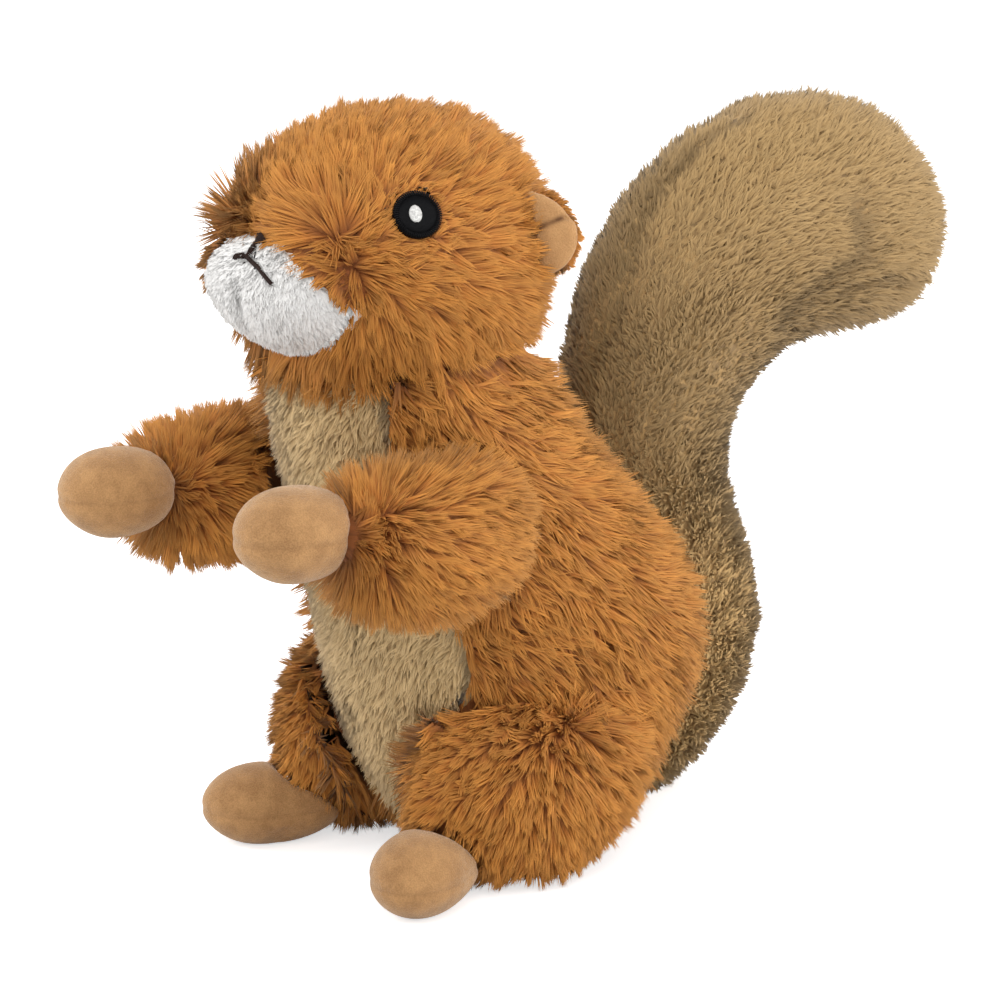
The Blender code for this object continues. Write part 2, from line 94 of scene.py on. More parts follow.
# %% Shader helper
class Wire:
    """A number or colour that runs through a material. Arithmetic on it adds the nodes."""

    def __init__(self, tree, socket):
        self.tree, self.socket = tree, socket

    def node(self, kind, *values, out=0, **settings):
        """Any other node: its settings first, then its input sockets in order."""
        made = self.tree.nodes.new(kind)
        stops = settings.pop("stops", None)
        for name, value in settings.items():
            setattr(made, name, value)
        if stops:
            ramp = made.color_ramp
            while len(ramp.elements) < len(stops):
                ramp.elements.new(1)
            for element, (place, colour) in zip(ramp.elements, stops):
                element.position = place
                element.color = (*colour, 1)
        for socket, value in zip(made.inputs, values):
            if isinstance(value, Wire):
                self.tree.links.new(value.socket, socket)
            elif value is not None:
                socket.default_value = value
        return Wire(self.tree, made.outputs[out] if made.outputs else None)

    def maths(self, operation, *values):
        return self.node("ShaderNodeMath", *values, operation=operation)

    def __add__(self, other):
        return self.maths("ADD", self, other)

    __radd__ = __add__

    def __mul__(self, other):
        return self.maths("MULTIPLY", self, other)

    __rmul__ = __mul__

    def __sub__(self, other):
        return self.maths("SUBTRACT", self, other)

    def __rsub__(self, other):
        return self.maths("SUBTRACT", other, self)

    def between(self, low, high):
        """0 up to low, 1 past high, and smooth between them."""
        return self.node("ShaderNodeMapRange", self, low, high, interpolation_type="SMOOTHSTEP")

    def blend(self, first, second, mode="MIX"):
        """From one colour to another as this number goes from 0 to 1."""
        made = self.tree.nodes.new("ShaderNodeMix")
        made.data_type, made.blend_type = "RGBA", mode
        for index, value in ((0, self), (6, first), (7, second)):
            if isinstance(value, Wire):
                self.tree.links.new(value.socket, made.inputs[index])
            elif value is not None:
                made.inputs[index].default_value = value if index == 0 else (*value, 1)
        return Wire(self.tree, made.outputs[2])

    def to(self, shader, name):
        self.tree.links.new(self.socket, shader.inputs[name])


def new_material(name, **settings):
    """A Principled material with its even settings. Returns it, its shader and a first wire."""
    made = bpy.data.materials.new(name)
    made.use_nodes = True
    shader = made.node_tree.nodes["Principled BSDF"]
    for key, value in settings.items():
        socket = shader.inputs[key.replace("_", " ").title().replace("Ior", "IOR")]
        socket.default_value = (*value, 1) if isinstance(value, tuple) else value
    return made, shader, Wire(made.node_tree, None)


print("shader helper ready")

# %% Floor and backdrop
bpy.ops.object.select_all(action="DESELECT")
bpy.ops.mesh.primitive_plane_add(size=12, location=(0, 0, 0))
floor = bpy.context.object
floor.name = "floor"
floor_material = bpy.data.materials.new("floor_white")
floor_material.use_nodes = True
tree = floor_material.node_tree
tree.nodes.clear()
wire = Wire(tree, None)
seen = wire.node("ShaderNodeLightPath")
paper = wire.node("ShaderNodeBsdfDiffuse", (0.82, 0.82, 0.82, 1))
glow = wire.node("ShaderNodeEmission", (1, 1, 1, 1), seen * 0.62)
both = wire.node("ShaderNodeAddShader", paper, glow)
wire.node("ShaderNodeOutputMaterial", both)
floor.data.materials.append(floor_material)

world = bpy.data.worlds.new("studio")
scene.world = world
world.use_nodes = True
wire = Wire(world.node_tree, None)
seen = wire.node("ShaderNodeLightPath")
sky = world.node_tree.nodes["Background"]
sky.inputs["Color"].default_value = (1, 1, 1, 1)
(seen * 0.32 + 0.68).to(sky, "Strength")
print("floor and backdrop are white to the camera")

# %% Lamps
def soft_lamp(name, azimuth, elevation, distance, size, power):
    """A large square lamp that faces the squirrel."""
    a, e = math.radians(azimuth), math.radians(elevation)
    away = Vector((math.sin(a) * math.cos(e), -math.cos(a) * math.cos(e), math.sin(e)))
    bpy.ops.object.light_add(type="AREA", location=LOOK_AT + away * distance)
    lamp = bpy.context.object
    lamp.name = name
    lamp.rotation_euler = (-away).to_track_quat("-Z", "Y").to_euler()
    lamp.data.size = size
    lamp.data.energy = power


soft_lamp("key_lamp", 58, 46, 1.6, 1.3, 12)
soft_lamp("front_lamp", -42, 28, 1.7, 1.0, 12.5)
soft_lamp("side_lamp", 130, 10, 1.8, 0.8, 12.5)
soft_lamp("back_lamp", 215, 45, 1.8, 1.2, 9)
print("four lamps lit")

# %% [markdown]
# ## Reading the solids
# Fur grows only where a piece can be seen. The solids touch where they are sewn together, with a gap of a few tenths
# of a millimetre. So a face that lies that close to another piece is a seam face, and stays bare. The helper below
# reads a solid as plain arrays, merges its loose triangles and finds its open faces.

# %% Solids as arrays
SEWN = 0.0009


class Solid:
    """One solid's points and triangles, with the faces that no neighbour covers."""

    def __init__(self, name):
        mesh = nodes[name].data
        mesh.calc_loop_triangles()
        points = np.empty(len(mesh.vertices) * 3)
        mesh.vertices.foreach_get("co", points)
        corners = np.empty(len(mesh.loop_triangles) * 3, int)
        mesh.loop_triangles.foreach_get("vertices", corners)
        _, first, merged = np.unique(
            np.round(points.reshape(-1, 3) * 1e6).astype(int), axis=0, return_index=True, return_inverse=True
        )
        self.name = name
        self.points = points.reshape(-1, 3)[first]
        self.faces = merged.reshape(-1)[corners].reshape(-1, 3)
        spread = self.points[self.faces]
        cross = np.cross(spread[:, 1] - spread[:, 0], spread[:, 2] - spread[:, 0])
        self.area = np.linalg.norm(cross, axis=1) / 2
        self.cross = cross
        self.middles = spread.mean(axis=1)
        self.low, self.high = self.points.min(axis=0), self.points.max(axis=0)
        self.tree = BVHTree.FromPolygons(self.points.tolist(), self.faces.tolist())

    def find_open(self, others):
        """Marks the faces that no other solid lies against, and the outward direction at each point of them."""
        self.open = np.ones(len(self.faces), bool)
        for other in others:
            if other is self or (other.low > self.high + SEWN).any() or (other.high < self.low - SEWN).any():
                continue
            for i, middle in enumerate(self.middles):
                if self.open[i] and other.tree.find_nearest(middle, SEWN)[0] is not None:
                    self.open[i] = False
        out = np.zeros_like(self.points)
        for corner in range(3):
            np.add.at(out, self.faces[self.open, corner], self.cross[self.open])
        length = np.linalg.norm(out, axis=1, keepdims=True)
        self.out = np.divide(out, length, out=np.zeros_like(out), where=length > 0)
        self.planted = (length[:, 0] > 0)[self.faces].any(axis=1)
        self.open_tree = BVHTree.FromPolygons(self.points.tolist(), self.faces[self.open].tolist())


solids = {name: Solid(name) for name in nodes}
TRIM = ("eye", "nose")
bulky = [solid for name, solid in solids.items() if not name.startswith(TRIM)]
for solid in bulky:
    solid.find_open(bulky)
print("open faces:", sum(int(solid.open.sum()) for solid in bulky))

# %% Wider ears
for side, sign in (("left", 1), ("right", -1)):
    outwards = np.array([0.766 * sign, 0.643, 0])
    inner = (solids[f"ear_lining_{side}"].points @ outwards).min()
    for name in (f"ear_{side}", f"ear_lining_{side}"):
        solid = solids[name]
        share = np.maximum(solid.points @ outwards - inner, 0)[:, None]
        solid.points = solid.points + share * 0.12 * outwards + (0, 0, 0.0026)
        solid.tree = BVHTree.FromPolygons(solid.points.tolist(), solid.faces.tolist())
        solid.open_tree = BVHTree.FromPolygons(solid.points.tolist(), solid.faces[solid.open].tolist())
print("the ears' plush stands a little further out than their solids")

# %% [markdown]
# ## Tufts
# A tuft is a thin straight three-sided spike, closed at its foot, and costs four triangles. Real pile gathers in locks
# whose tips lean together, which leaves small dark gaps between them. So the tufts share a set of lock centres, and
# each one's tip is pulled towards its lock's tip. All of it is worked out for the whole piece at once, as arrays.
# Blender's own hair would give curves with no mesh.

# %% Where the tufts grow
def unit(vectors):
    length = np.linalg.norm(vectors, axis=-1, keepdims=True)
    return vectors / np.maximum(length, 1e-12)


RIM = 0.0025


def thinned(points, spacing, rng):
    """Picks points that are about that far apart."""
    order = rng.permutation(len(points))
    cells = np.floor(points[order] / (1.22 * spacing)).astype(int)
    _, first = np.unique(cells, axis=0, return_index=True)
    return order[first]


def scattered(solid, spacing, rng):
    """Evenly spread places on a solid's open faces and the rims of its sewn ones, with their outward directions."""
    faces = np.flatnonzero(solid.planted)
    area = solid.area[faces]
    count = int(4 * area.sum() / spacing**2)
    face = solid.faces[rng.choice(faces, count, p=area / area.sum())]
    share = rng.random((count, 2))
    over = share.sum(axis=1) > 1
    share[over] = 1 - share[over]
    weights = np.stack([1 - share.sum(axis=1), share[:, 0], share[:, 1]], axis=1)[:, :, None]
    places = (solid.points[face] * weights).sum(axis=1)
    out = unit((solid.out[face] * weights).sum(axis=1))
    kept = thinned(places, spacing, rng)
    near = [solid.open_tree.find_nearest(place, RIM)[0] is not None for place in places[kept]]
    kept = kept[np.array(near)]
    return places[kept], out[kept]


def squeezed(solid, places, out, room):
    """Where two pieces meet, the pile can't stand straight out, and turns to the open side of the groove."""
    turned = out.copy()
    for other in bulky:
        near = ((places > other.low - room) & (places < other.high + room)).all(axis=1)
        if other is solid or not near.any():
            continue
        for i in np.flatnonzero(near):
            _, normal, _, gap = other.tree.find_nearest(places[i], room)
            if normal is not None and np.dot(out[i], normal) < 0.5:
                turned[i] += 0.9 * (1 - gap / room) * np.array(normal)
    return unit(turned)


def nearest(points, centres):
    """For each point, which centre is the nearest."""
    tree = KDTree(len(centres))
    for i, centre in enumerate(centres):
        tree.insert(centre, i)
    tree.balance()
    return np.array([tree.find(point)[1] for point in points])


def uneven(places, size, seed):
    """Three smooth random numbers at each place, from about -1 to 1, that change over about that size."""
    start = Vector((7.3, 3.1, 1.7)) * seed
    return 1.6 * np.array([noise.noise_vector(Vector(place) / size + start) for place in places])


print("places are scattered with a fixed seed, so every run gives the same fur")

# %% How the tufts lie
FLOOR_CLEARANCE = 0.0004


def lie(places, out, flow, look, rng):
    """The foot, bend and tip of each tuft, its width and its tone from 0, dark, to 1, light. The tone is random by
    lock and tuft, with painted shade where the pile sinks and any painted light or shade that the look gives.
    """
    count = len(places)
    trim = look.get("trim", np.ones(count))
    broad = uneven(places, look.get("lump", 0.022), look["seed"])
    fine = uneven(places, 0.007, look["seed"] + 1)
    swirl = look.get("swirl", 0.5)
    sunk = look.get("sunk", 0) + look.get("lumpy", 0.0009) * np.clip(broad[:, 1] + 0.6 * fine[:, 1], 0, 1.5) * trim
    feet = places - look["inward"] * (look["depth"] * trim + sunk)[:, None]
    centres = thinned(places, look["lock"], rng)
    lock = nearest(places, places[centres])
    size = len(centres)
    turn = rng.normal(0, look["stray"], size)[lock] + rng.normal(0, 0.12, count)
    turn += swirl * (broad[:, 0] + 0.5 * fine[:, 0])
    flow = unit(flow - out * (flow * out).sum(axis=1, keepdims=True))
    across = np.cross(out, flow)
    flow = flow * np.cos(turn)[:, None] + across * np.sin(turn)[:, None]
    lean = look["lean"] + rng.normal(0, 0.14, size)[lock] + rng.normal(0, 0.07, count) + 0.25 * swirl * fine[:, 2]
    lean = np.clip(lean, -0.75, 1.35)[:, None]
    length = look["length"] * (1 + rng.normal(0, 0.10, size)[lock] + rng.normal(0, 0.07, count))
    length = (length * trim * look.get("longer", 1))[:, None]
    tip = feet + length * (out * np.cos(lean) + flow * np.sin(lean))
    bend = feet + 0.55 * length * (out * np.cos(lean * 0.5) + flow * np.sin(lean * 0.5))
    pull = np.clip(rng.normal(look["pull"], 0.12, count), 0, 0.95)[:, None]
    tip = tip + pull * (tip[centres][lock] - tip)
    bend = bend + 0.45 * pull * (bend[centres][lock] - bend)
    tip += rng.normal(0, look["length"] * 0.035, (count, 3))
    tone = look.get("tone", 0.5) + look.get("patchy", 1) * (rng.normal(0, 0.17, size)[lock] + rng.normal(0, 0.08, count))
    # Painted shade: where the pile sinks into a crease, fold, seam or dimple, its tone is painted darker.
    tone -= look.get("sunk_tone", 90) * look.get("sunk", 0)
    width = look["width"] * rng.uniform(0.8, 1.2, count)
    return [feet, bend, tip], width, np.clip(tone, 0, 1)


def kept_off(lines, keep_off):
    """Parts the tufts round each eye or stitch: (centre, outward direction, radius)."""
    for centre, axis, radius in keep_off:
        for points in lines[1:]:
            away = points - centre
            along = away @ axis
            flat = away - along[:, None] * axis
            reach = np.linalg.norm(flat, axis=1)
            near = (reach < radius) & (np.abs(along) < 0.02)
            points[near] += unit(flat[near]) * (radius - reach[near])[:, None]
    for points in lines:
        points[:, 2] = np.maximum(points[:, 2], FLOOR_CLEARANCE)


print("tufts lean along the nap and gather in locks")

# %% [markdown]
# ## From tufts to a mesh
# The skin and the tufts of a piece are one mesh. A bake map goes on it, where across is the tuft's tone, painted shade
# and light included, and up is the way from foot to tip. The fur's material reads nothing else, so it looks the same
# wherever it is baked.

# %% Mesh of a furry piece
SPIKE = [(0, 1, 4, 3), (1, 2, 5, 4), (2, 0, 3, 5), (3, 4, 6), (4, 5, 6), (5, 3, 6), (2, 1, 0)]
STUB = [(0, 1, 3), (1, 2, 3), (2, 0, 3), (2, 1, 0)]
MAP_STRIP = 0.05
BODY_SHADING = 0.68


def spikes(lines, out, width, tone, bent, body):
    """Points, face corners, face sizes, map places and shading directions of all the tufts."""
    feet, bend, tip = lines
    rng = np.random.default_rng(5)
    first = unit((bend if bent else tip) - feet)
    twist = unit(out + rng.normal(0, 0.5, out.shape))
    side = unit(np.cross(first, twist))
    flat = np.cross(first, side)
    rings = [(feet, 1.0), (bend, 0.95)] if bent else [(feet, 1.0)]
    points, facing = [], []
    for middle, share in rings:
        for angle in (math.pi / 2, math.pi * 7 / 6, math.pi * 11 / 6):
            around = side * math.cos(angle) + flat * math.sin(angle)
            half = (width * share / 2)[:, None]
            points.append(middle + half * (side * math.cos(angle) + 0.7 * flat * math.sin(angle)))
            facing.append(unit(body * out + (1 - body) * around))
    points.append(tip)
    facing.append(out)
    points = np.stack(points, axis=1)
    shape = SPIKE if bent else STUB
    corners = np.concatenate(shape)
    count = len(feet)
    index = (corners[None] + points.shape[1] * np.arange(count)[:, None]).reshape(-1)
    sizes = np.tile([len(face) for face in shape], count)
    heights = [0.03] * 3 + [0.5] * 3 + [0.99] if bent else [0.03] * 3 + [0.99]
    up = np.array(heights)[corners]
    along = np.concatenate(
        [[k, k + 1, k + 1, k] for k in range(3)] + [[k, k + 1, k + 0.5] for k in range(3)] + [[0, 1, 0.5]]
        if bent
        else [[k, k + 1, k + 0.5] for k in range(3)] + [[0, 1, 0.5]]
    )
    up[-1] = 0.0
    across = (tone * (1 - MAP_STRIP))[:, None] + along[None] * MAP_STRIP / 3
    places = np.stack([across, np.broadcast_to(up, across.shape)], axis=2).reshape(-1, 2)
    return points.reshape(-1, 3), index, sizes, places, np.stack(facing, axis=1).reshape(-1, 3)


def finer(points, faces, *carried):
    """Each triangle cut into four, with what is carried at the points."""
    edges, index = np.unique(np.sort(faces[:, [0, 1, 1, 2, 2, 0]].reshape(-1, 2), axis=1), axis=0, return_inverse=True)
    (a, b, c), (ab, bc, ca) = faces.T, index.reshape(-1, 3).T + len(points)
    faces = np.stack([a, ab, ca, ab, b, bc, ca, bc, c, ab, bc, ca], axis=1).reshape(-1, 3)
    return faces, [np.concatenate([values, values[edges].mean(axis=1)]) for values in (points, *carried)]


def skin_of(solid, depth_at, cuts):
    """The woven back: the solid with its open faces moved in. Sewn faces follow near their rims."""
    rim = np.flatnonzero(np.linalg.norm(solid.out, axis=1) > 0.5)
    sewn = np.flatnonzero(np.linalg.norm(solid.out, axis=1) <= 0.5)
    move = solid.out.copy()
    if len(sewn):
        partner = rim[nearest(solid.points[sewn], solid.points[rim])]
        gap = np.linalg.norm(solid.points[sewn] - solid.points[partner], axis=1)
        move[sewn] = solid.out[partner] * np.clip(1 - gap / 0.018, 0, 1)[:, None]
    points, faces, out = solid.points, solid.faces, solid.out
    for _ in range(cuts):
        faces, (points, move, out) = finer(points, faces, move, out)
    middles = points[faces].mean(axis=1)
    points = points - move * depth_at(points, unit(out))[:, None]
    rng = np.random.default_rng(6)
    start = rng.uniform(0, 1 - MAP_STRIP, len(faces))
    # The skin maps to the foot of the strip, so it takes the dark root colour, as painted shade.
    shape = np.array([(0, 0), (MAP_STRIP, 0.005), (MAP_STRIP / 2, 0.03)])
    places = np.stack([start[:, None] + shape[None, :, 0], np.broadcast_to(shape[:, 1], (len(start), 3))], axis=2)
    return (points, faces.reshape(-1), np.full(len(faces), 3), places.reshape(-1, 2), unit(out)), middles


def mesh_piece(name, parts, material):
    """One object from several sets of points, corners, sizes and map places."""
    counts = np.cumsum([0] + [len(part[0]) for part in parts])
    points = np.concatenate([part[0] for part in parts])
    corners = np.concatenate([part[1] + start for part, start in zip(parts, counts)])
    sizes = np.concatenate([part[2] for part in parts])
    places = np.concatenate([part[3] for part in parts])
    mesh = bpy.data.meshes.new(name)
    mesh.vertices.add(len(points))
    mesh.vertices.foreach_set("co", points.astype(np.float32).ravel())
    mesh.loops.add(len(corners))
    mesh.loops.foreach_set("vertex_index", corners.astype(np.int32))
    mesh.polygons.add(len(sizes))
    starts = np.concatenate([[0], np.cumsum(sizes)[:-1]])
    mesh.polygons.foreach_set("loop_start", starts.astype(np.int32))
    mesh.update(calc_edges=True)
    bake_map = mesh.uv_layers.new(name="OFBake")
    bake_map.uv.foreach_set("vector", places.astype(np.float32).ravel())
    mesh.materials.append(material)
    mesh.shade_smooth()
    mesh.normals_split_custom_set_from_vertices(np.concatenate([part[4] for part in parts]))
    made = bpy.data.objects.new(name, mesh)
    scene.collection.objects.link(made)
    return made


def furry(node, material, slot, flow, keep_off=(), also=None, patch=None, **look):
    """A furry piece in place of a solid. Also plants its pile on part of another, and patch colours part of its skin."""
    solid = solids[node]
    rng = np.random.default_rng(look["seed"])
    spacing = look["spacing"] * 1
    places, out = scattered(solid, spacing, rng)
    share = np.ones(len(places))
    trim = look.pop("trim", lambda places, out: np.ones(len(places)))
    cuts, sunk_at = look.pop("cuts", 1), look.get("sunk", lambda places, out: np.zeros(len(places)))
    out_here, room, depth = squeezed(solid, places, out, 0.8 * look["length"]), 0.8 * look["length"], look["depth"]
    if also:
        other, test, length_share, other_depth = also
        more, more_out = scattered(solids[other], spacing, rng)
        kept = test(more)
        more, more_out = more[kept], more_out[kept]
        look["depth"] = np.concatenate([np.full(len(places), depth), np.full(len(more), other_depth / length_share)])
        share = np.concatenate([share, np.full(len(more), length_share)])
        out_here = np.concatenate([out_here, squeezed(solids[other], more, more_out, length_share * room)])
        places, out = np.concatenate([places, more]), np.concatenate([out, more_out])
    look["inward"], out = out, out_here
    look = {key: value(places, out) if callable(value) else value for key, value in look.items()}
    look["trim"] = share * trim(places, out)
    if "grows" in look:
        kept = look.pop("grows")
        places, out = places[kept], out[kept]
        look = {key: value[kept] if isinstance(value, np.ndarray) else value for key, value in look.items()}
    lines, width, tone = lie(places, out, flow(places, out), look, rng)
    kept_off(lines, keep_off)
    fur = spikes(lines, out, width, tone, look.get("bent", False), look.get("body", BODY_SHADING))
    skin, middles = skin_of(solid, lambda points, out: depth * trim(points, out) + sunk_at(points, out), cuts)
    made = mesh_piece(f"{node}_plush", [skin, fur], material)
    if patch:
        made.data.materials.append(patch[0])
        index = np.zeros(len(made.data.polygons), np.int32)
        index[: len(middles)] = patch[1](middles)
        made.data.polygons.foreach_set("material_index", index)
    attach(made, "root")
    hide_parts(node)
    print(node, "has", len(places), "tufts and", len(fur[2]), "faces")
    return made


print("fur is ready to plant")

# %% [markdown]
# ## Colour of the plush
# Plush is painted dark at its roots, as painted shade where little light comes, and paler at the tips, as painted
# light where they catch it. The tone of the whole lock varies at random too. It is also painted darker in creases,
# folds and the tail's shaded parts, as painted shade, and lighter on the thighs and low on the tail, as painted light.
# Fine lines run along each tuft, as if it were many fibres.

# %% Plush materials
def plush(name, root, middle, tip, contrast, **settings):
    made, shader, wire = new_material(name, **settings)
    place = wire.node("ShaderNodeUVMap", uv_map="OFBake")
    across, up = (wire.node("ShaderNodeSeparateXYZ", place, out=i) for i in (0, 1))
    # Painted shade at the roots and painted light at the tips: dark root colour up to pale tip colour.
    base = wire.node("ShaderNodeValToRGB", up, stops=[(0.0, root), (0.45, middle), (1.0, tip)])
    fibre = wire.node(
        "ShaderNodeTexNoise", wire.node("ShaderNodeCombineXYZ", across * 420, up * 2.0), None, 1.0, 1.0, 0.5
    )
    # The tone across the map brings the random lock tone and the painted shade and light worked out for each tuft.
    level = (across - 0.5) * contrast + (fibre - 0.5) * 0.35 + 1.0
    shade = wire.node("ShaderNodeCombineXYZ", level, level, level)
    colour = wire.node("ShaderNodeVectorMath", base, shade, operation="MULTIPLY")
    colour.to(shader, "Base Color")
    return made


ORANGE = plush(
    "orange_plush",
    (0.26, 0.080, 0.015),
    (0.50, 0.180, 0.026),
    (0.67, 0.284, 0.048),
    0.50,
    roughness=0.75,
    sheen_weight=0.14,
    sheen_roughness=0.5,
    sheen_tint=(1.0, 0.75, 0.5),
)
TAUPE = plush(
    "taupe_plush",
    (0.335, 0.205, 0.077),
    (0.42, 0.262, 0.099),
    (0.475, 0.303, 0.121),
    0.80,
    roughness=0.75,
    sheen_weight=0.12,
    sheen_roughness=0.5,
)
BEIGE = plush(
    "beige_plush",
    (0.44, 0.285, 0.125),
    (0.64, 0.436, 0.198),
    (0.78, 0.552, 0.275),
    0.22,
    roughness=0.75,
    sheen_weight=0.2,
    sheen_roughness=0.5,
)
WHITE = plush(
    "white_plush",
    (0.88, 0.86, 0.83),
    (0.90, 0.885, 0.86),
    (0.91, 0.895, 0.87),
    0.30,
    roughness=0.7,
    sheen_weight=0.2,
    sheen_roughness=0.4,
)
print("four plush materials")

# %% [markdown]
# ## The nap
# The nap is the way that the pile lies. On the head it turns away from a whorl beside each side of the nose: forward
# over the bridge, up the forehead and back over the cheeks. On the arms it runs back from the wrists, and on the
# thighs it spreads from the stitch that dimples each one.

# %% Directions of the nap
def away_from(*centres):
    """Away from a few centres, of which the nearest counts most."""
    def flow(places, out):
        total = np.zeros_like(places)
        for centre in centres:
            away = places - np.array(centre)
            reach = np.linalg.norm(away, axis=1, keepdims=True)
            total += away / np.maximum(reach, 1e-3) ** 3
        return unit(total)

    return flow


def along(direction):
    return lambda places, out: np.broadcast_to(np.array(direction, float), places.shape)


def mixed(*shares):
    """A sum of flows, each with its share."""
    return lambda places, out: sum(share * flow(places, out) for share, flow in shares)


def middle_of(name):
    low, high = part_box(name)
    return np.array((low + high) / 2)


EYES = {side: middle_of(f"eye_{side}") for side in ("left", "right")}
print("eyes at", {side: np.round(place, 4).tolist() for side, place in EYES.items()})

# %% Where the pile is parted or pulled in
def line_gap(points, line):
    """How far each point is from a line of several stretches."""
    line = np.array(line, float)
    gaps = []
    for start, end in zip(line[:-1], line[1:]):
        reach = end - start
        share = np.clip((points - start) @ reach / (reach @ reach), 0, 1)[:, None]
        gaps.append(np.linalg.norm(points - start - share * reach, axis=1))
    return np.min(gaps, axis=0)


def hollows(*lines):
    """How far the pile sinks at each place. Each line is its points, its half width and its depth."""
    def sunk(places, out):
        return np.max([depth * np.exp(-((line_gap(places, line) / width) ** 2)) for line, width, depth in lines], axis=0)

    return sunk


def mirrored(points):
    return [(-x, y, z) for x, y, z in points]


def spots_along(line, axis, radius, step=0.0008):
    """Round spots that follow a line, for the pile to keep clear of."""
    line = np.array(line, float)
    spots = []
    for start, end in zip(line[:-1], line[1:]):
        for share in np.arange(0, 1, step / np.linalg.norm(end - start)):
            spots.append((start + share * (end - start), np.array(axis, float), radius))
    return spots


def eye_spots():
    """Where the fur parts for the eyes: centre, outward direction and radius."""
    spots = []
    for side, sign in (("left", 1), ("right", -1)):
        spots.append((EYES[side], unit(np.array([0.84 * sign, -0.33, 0.43])), 0.0074))
    return spots


def shorter_near(spots, reach, least):
    """A trim for the pile: least at the rim of each spot, and full length at reach from it."""
    def trim(places, out):
        share = np.ones(len(places))
        for centre, _, radius in spots:
            gap = np.linalg.norm(places - centre, axis=1) - radius
            share = np.minimum(share, least + (1 - least) * np.clip(gap / reach, 0, 1))
        return share

    return trim


def clear_of(spots, extra=0.0):
    def grows(places, out):
        kept = np.ones(len(places), bool)
        for centre, _, radius in spots:
            kept &= np.linalg.norm(places - centre, axis=1) > radius + extra
        return kept

    return grows


def lean_from(centres, near, far, reach, upright=0.85):
    """The pile lies flat beside the whorls, and stands up further from them."""
    def lean(places, out):
        gap = np.min([np.linalg.norm(places - np.array(centre), axis=1) for centre in centres], axis=0)
        return (far + (near - far) * np.exp(-((gap / reach) ** 2))) * (1 - upright * np.exp(-((gap / 0.0035) ** 2)))

    return lean


print("partings and spots ready")

# %% [markdown]
# ## The stitched nose and mouth
# The nose and mouth are satin stitches: short threads laid side by side across a line. Their lines are given as seen
# from the front, and each place on them is then found on the muzzle by looking along +Y.

# %% Lines of the nose and mouth
MOUTH_MIDDLE = (0.0044, 0.2026)
MOUTH = [(-0.0014, 0.2021), (0.0016, 0.2027), MOUTH_MIDDLE, (0.0097, 0.2004), (0.0157, 0.1961)]
NOSE_LINE = [(0.0050, 0.2062), MOUTH_MIDDLE]
NOSE_TOP = [(0.0018, 0.2098), (0.0082, 0.2073)]


def on_muzzle(x, z):
    """The place on the muzzle, and its outward direction, for a place seen from the front."""
    hit, normal, _, _ = solids["muzzle"].tree.ray_cast(Vector((x, -0.5, z)), Vector((0, 1, 0)))
    thread = solids["nose_and_mouth_stitching"].tree.ray_cast(Vector((x, -0.5, z)), Vector((0, 1, 0)))[0]
    if thread is not None and thread.y < hit.y:
        hit = thread + Vector((0, 0.0010, 0))
    return np.array(hit), np.array(normal)


NOSE_MIDDLE = on_muzzle(0.0045, 0.2085)[0]
MOUTH_SPOTS = []
inside = [(0.5 * (a + b), 0.5 * (c + d)) for (a, c), (b, d) in [NOSE_TOP]]
for line in (MOUTH, NOSE_LINE, [NOSE_TOP[0], NOSE_LINE[0], NOSE_TOP[1], NOSE_TOP[0]], inside + [NOSE_LINE[0]]):
    placed = [on_muzzle(x, z)[0] for x, z in line]
    MOUTH_SPOTS += spots_along(placed, (0, -0.93, 0.36), 0.0013)
print("the stitches keep", len(MOUTH_SPOTS), "spots clear of fur")

# %% [markdown]
# ## Growing the fur
# Each piece now gets its own pile. The head's is long and shows a whorl beside the nose, and a crease pulls it in
# above each eye, where the pile is also painted darker as painted shade. The tail and the belly are an even short
# pile, and the muzzle's is the softest.

# %% Head
WHORLS = [(side * x, y, z) for side in (1, -1) for x, y, z in ((0.0274, -0.1208, 0.2108), (0.0331, -0.1187, 0.2016))]
BROW = [(0.0349, -0.0882, 0.2298), (0.0383, -0.0804, 0.2280), (0.0352, -0.0675, 0.2313)]
LONG_PILE = {"lock": 0.0028, "stray": 0.34, "pull": 0.5, "width": 0.0013}


def drooping(flow, height, most):
    """The same flow, but turned downwards under a height."""
    def turned(places, out):
        share = np.clip((height - places[:, 2]) / 0.03, 0, 1)[:, None] * most
        return flow(places, out) * (1 - share * 0.5) - share * np.array([0, 0, 1.0])

    return turned


def white_edge(places):
    """True above the line where the white of the muzzle ends."""
    across = np.abs(places[:, 0] - 0.002)
    heights = (0.2120, 0.2110, 0.2084, 0.2027, 0.1952, 0.1870)
    return places[:, 2] > np.interp(across, (0, 0.0035, 0.0090, 0.0196, 0.028, 0.032), heights)


def bumps(*lumps):
    """1, and more near some places. Each lump is its place, its reach and how much more."""
    def longer(places, out):
        total = np.ones(len(places))
        for centre, reach, more in lumps:
            for side in (1, -1):
                gap = np.linalg.norm(places - np.array(centre) * (side, 1, 1), axis=1)
                total += more * np.exp(-((gap / reach) ** 2))
        return total

    return longer


